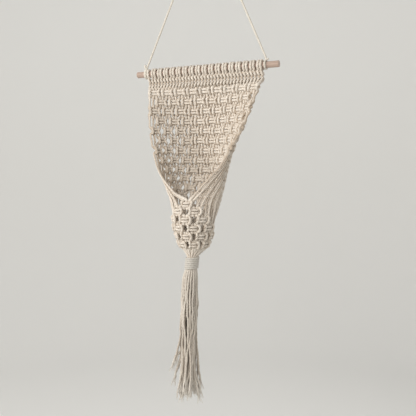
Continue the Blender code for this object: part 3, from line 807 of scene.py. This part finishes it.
def cotton_material(name, colour=COTTON, deep=COTTON_DEEP):
    material, shader, stretch, fibres, mix = grained_material(name, colour, deep, COTTON_FIBRES)
    nodes, links = material.node_tree.nodes, material.node_tree.links
    shader.inputs["Sheen Weight"].default_value = 0.25
    shader.inputs["Sheen Roughness"].default_value = 0.5
    shader.inputs["Specular IOR Level"].default_value = 0.2
    space = nodes.new("ShaderNodeAttribute")
    space.attribute_name = "cord_space"
    links.new(space.outputs["Vector"], stretch.inputs["Vector"])
    # the cord's own tone and its painted shade, with the fibres' noise, mix the cotton towards its deep
    # colour
    shade = nodes.new("ShaderNodeAttribute")
    shade.attribute_name = "cord_tone_and_painted_shade"
    blend = nodes.new("ShaderNodeMath")
    blend.operation = "MULTIPLY_ADD"
    blend.inputs[1].default_value = FIBRE_SHADE
    links.new(fibres.outputs["Fac"], blend.inputs[0])
    links.new(shade.outputs["Fac"], blend.inputs[2])
    links.new(blend.outputs["Value"], mix.inputs["Factor"])
    return material


def wood_material():
    material, _, stretch, noise, mix = grained_material("dowel_wood_grain", WOOD, WOOD_DARK, WOOD_GRAIN)
    nodes, links = material.node_tree.nodes, material.node_tree.links
    place = nodes.new("ShaderNodeTexCoord")
    links.new(place.outputs["Object"], stretch.inputs["Vector"])
    links.new(noise.outputs["Fac"], mix.inputs["Factor"])
    return material


# ---- pieces ----
def build_hanging_cord(material):
    route = smooth(CORD_ROUTE, HANGING_STEP)
    yarn = Yarn("hanging_cord_rope")
    yarn.add(route, HANGING_RADIUS, 0.0, lay=HANGING_LAY)
    piece = yarn.build(material, "cord_cotton", "hanging_cord")
    return piece, route, line_length(route)


def build_tie(name, parts, material, node):
    """The hanging cord's end: lengths of it that turn round the dowel."""
    yarn = Yarn(name)
    for marks in parts:
        yarn.add(smooth(marks, HANGING_STEP), HANGING_RADIUS, 0.0, lay=HANGING_LAY)
    return yarn.build(material, "cord_cotton", node)


def dowel_turn(turn):
    """Marks round the dowel; an angle of 0 is on top and 90 in front."""
    reach = DOWEL_RADIUS + HANGING_DIAMETER / 2 * TURN_REACH + turn.lift
    count = max(int(abs(turn.angle_end - turn.angle_start) / TURN_STEP), 2)
    marks = []
    for k in range(count + 1):
        share = k / count
        angle = math.radians(turn.angle_start + (turn.angle_end - turn.angle_start) * share)
        marks.append((turn.x_start + (turn.x_end - turn.x_start) * share, -reach * math.sin(angle),
                      reach * math.cos(angle) - DOWEL_DROP))
    return marks


def build_ties(material):
    left_start = (CORD_ROUTE[0][0], 0.0, CORD_ROUTE[0][2] - TIE_START)
    left_parts = [
        [left_start, LEFT_ENTRY, *dowel_turn(LEFT_TURN), *LEFT_CROSSING],
        [*dowel_turn(LEFT_LAST_TURN), *LEFT_END],
    ]
    left = build_tie("left_tie_turns", left_parts, material, "cord_tie_left")
    right_start = (CORD_ROUTE[-1][0], 0.0, CORD_ROUTE[-1][2] - TIE_START)
    right_parts = [[right_start, RIGHT_ENTRY, *dowel_turn(RIGHT_TURN), *RIGHT_END]]
    right = build_tie("right_tie_turns", right_parts, material, "cord_tie_right")
    return left, right


def add_hitches(yarn, draw):
    """Two bars of hitches: a loop for each strand round a holding cord."""
    left, right = TIER_LEFT + HOLDING_INSET, TIER_LEFT + TIER_PITCH * STRANDS - HOLDING_INSET
    for number, tier in enumerate(TIERS):
        bar = [(x, 0.0, -tier) for x in (left, CENTRE_X, right)]
        # painted shade on the holding cord inside the bar
        yarn.add(smooth(bar, HOLDING_STEP), HOLDING_RADIUS, HOLDING_PAINTED_SHADE)
        lean = TIER_LEAN if number == 0 else -TIER_LEAN
        for strand in range(1, STRANDS + 1):
            middle = TIER_LEFT + TIER_PITCH * (strand - 0.5)
            marks = []
            for k in range(HITCH_STEPS + 1):
                angle = math.radians(-HITCH_TURN / 2 + HITCH_TURN * k / HITCH_STEPS)
                up = math.sin(angle)
                marks.append((middle - lean * up, -HITCH_DEPTH * math.cos(angle),
                              HITCH_HEIGHT * up - tier))
            yarn.add(smooth(marks, RING_STEP), HITCH_RADIUS, draw.random() * HITCH_UNEVEN,
                     start=draw.random() * LAY, outward=np.array((0.0, -1.0, 0.0)), flank=HITCH_FLANK_PAINTED_SHADE)


def build_strands(material, tassel_material, draw):
    """The strands, each cut where the heading ends and inside the wrap, in a few pieces."""
    knots = knot_plan(draw)
    tips = tassel_plan(draw)
    heading = Yarn("heading_cords")
    net = [Yarn(f"net_strands_{k + 1}") for k in range(4)]
    tassel = [Yarn(f"tassel_strands_{k + 1}") for k in range(2)]
    brushes = Yarn("tassel_brushes")
    add_hitches(heading, draw)
    for strand in range(1, STRANDS + 1):
        samples = smooth(strand_marks(strand, knots, tips[strand], draw), RING_STEP)
        shade = draw.random() * STRAND_UNEVEN
        run = draw.random() * LAY
        yarns = (heading, net[(strand - 1) * len(net) // STRANDS],
                 tassel[(strand - 1) * len(tassel) // STRANDS])
        for part, yarn in zip(split_by_drop(samples, (HEADING_FOOT, TASSEL_TOP)), yarns):
            line, drops = part[:, :3], -part[:, 2]
            # the strand's own tone plus painted shade from its marks and down the tassel
            shades = shade + part[:, 4] + np.interp(drops, TASSEL_DROPS, TASSEL_PAINTED_SHADES)
            yarn.add(line, part[:, 3], shades, start=run, outward=cloth_outward(part),
                     flank=np.interp(drops, FLANK_DROPS, FLANK_PAINTED_SHADES))
            run += line_length(line)
        add_brush(brushes, samples[-END_SAMPLES:, :3], shade, draw)
    heading.build(material, "heading_cotton", "heading")
    for yarn in net:
        yarn.build(material, "net_cotton", "net_pocket")
    for yarn in (*tassel, brushes):
        yarn.build(tassel_material, "tassel_cotton", "tassel")


def build_wrap(material):
    """Turns of cord, close together, from the top down."""
    yarn = Yarn("wrap_cord")
    reach = WRAP_OUTER - WRAP_CORD
    centre = np.array(((WRAP_TOP_X + WRAP_BOTTOM_X) / 2, WRAP_Y))
    marks = []
    count = WRAP_TURNS * WRAP_TURN_MARKS
    for k in range(count + 1):
        angle = 2 * math.pi * k / WRAP_TURN_MARKS
        share = k / count
        drop = WRAP_TOP + WRAP_CORD + (WRAP_BOTTOM - WRAP_TOP - 2 * WRAP_CORD) * share
        marks.append((wrap_x(drop) + reach * math.sin(angle), WRAP_Y + reach * math.cos(angle), -drop))
    line = smooth(marks, RING_STEP)
    outward = np.zeros_like(line)
    outward[:, :2] = (line[:, :2] - centre) / np.linalg.norm(line[:, :2] - centre, axis=1)[:, None]
    yarn.add(line, WRAP_CORD, 0.0, outward=outward, flank=WRAP_FLANK_PAINTED_SHADE)
    yarn.build(material, "wrap_cotton", "gathering_wrap")


# ---- studio ----
def build_studio():
    """A pale floor that rises in a smooth round sweep, far from the hanging."""
    profile = [(0.0, 0.0), (FLOOR_RADIUS, 0.0)]
    for k in range(1, SWEEP_STEPS + 1):
        angle = math.radians(90 * k / SWEEP_STEPS)
        profile.append((FLOOR_RADIUS + SWEEP_RADIUS * math.sin(angle),
                        SWEEP_RADIUS - SWEEP_RADIUS * math.cos(angle)))
    profile.append((FLOOR_RADIUS + SWEEP_RADIUS, STUDIO_HEIGHT))
    points, faces = [(0.0, 0.0, FLOOR_Z)], []
    for radius, height in profile[1:]:
        for k in range(STUDIO_SIDES):
            angle = 2 * math.pi * k / STUDIO_SIDES
            points.append((radius * math.cos(angle), radius * math.sin(angle), FLOOR_Z + height))
    for k in range(STUDIO_SIDES):
        faces.append((0, 1 + k, 1 + (k + 1) % STUDIO_SIDES))
    for ring in range(len(profile) - 2):
        for k in range(STUDIO_SIDES):
            a = 1 + ring * STUDIO_SIDES + k
            b = 1 + ring * STUDIO_SIDES + (k + 1) % STUDIO_SIDES
            faces.append((a, a + STUDIO_SIDES, b + STUDIO_SIDES, b))
    mesh = bpy.data.meshes.new("floor_sweep")
    mesh.from_pydata(points, [], faces)
    mesh.shade_smooth()
    material = bpy.data.materials.new("studio_paint")
    material.use_nodes = True
    shader = material.node_tree.nodes["Principled BSDF"]
    shader.inputs["Base Color"].default_value = (*STUDIO, 1.0)
    shader.inputs["Roughness"].default_value = STUDIO_ROUGHNESS
    mesh.materials.append(material)
    floor = bpy.data.objects.new("floor_sweep", mesh)
    bpy.context.scene.collection.objects.link(floor)


def add_area_light(light):
    data = bpy.data.lights.new(light.name, "AREA")
    data.shape = "RECTANGLE"
    data.size, data.size_y = light.size
    data.energy = light.power
    data.color = light.colour
    lamp = bpy.data.objects.new(light.name, data)
    lamp.location = light.place
    direction = Vector(light.aim) - Vector(light.place)
    lamp.rotation_euler = direction.to_track_quat("-Z", "Y").to_euler()
    bpy.context.scene.collection.objects.link(lamp)


def build_lights():
    for light in LIGHTS:
        add_area_light(light)
    world = bpy.data.worlds.new("room")
    world.use_nodes = True
    background = world.node_tree.nodes["Background"]
    background.inputs["Color"].default_value = (*ROOM_COLOUR, 1.0)
    background.inputs["Strength"].default_value = ROOM_STRENGTH
    bpy.context.scene.world = world
    bpy.context.scene.view_settings.view_transform = "Standard"


make_camera()
draw = random.Random(SEED)
cord_look = cotton_material("hanging_cord_look", HANGING_COTTON)
hanging_cord, hanging_route, hanging_length = build_hanging_cord(cord_look)
ties = build_ties(cord_look)
strand_look = cotton_material("strand_look")
tassel_look = cotton_material("tassel_look", TASSEL_SHADED_COTTON, TASSEL_DEEP)
build_strands(strand_look, tassel_look, draw)
build_wrap(cotton_material("wrap_look", WRAP_SHADED_COTTON, WRAP_DEEP))
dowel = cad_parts["dowel"]
dowel.data.materials.clear()
dowel.data.materials.append(wood_material())
build_studio()
build_lights()
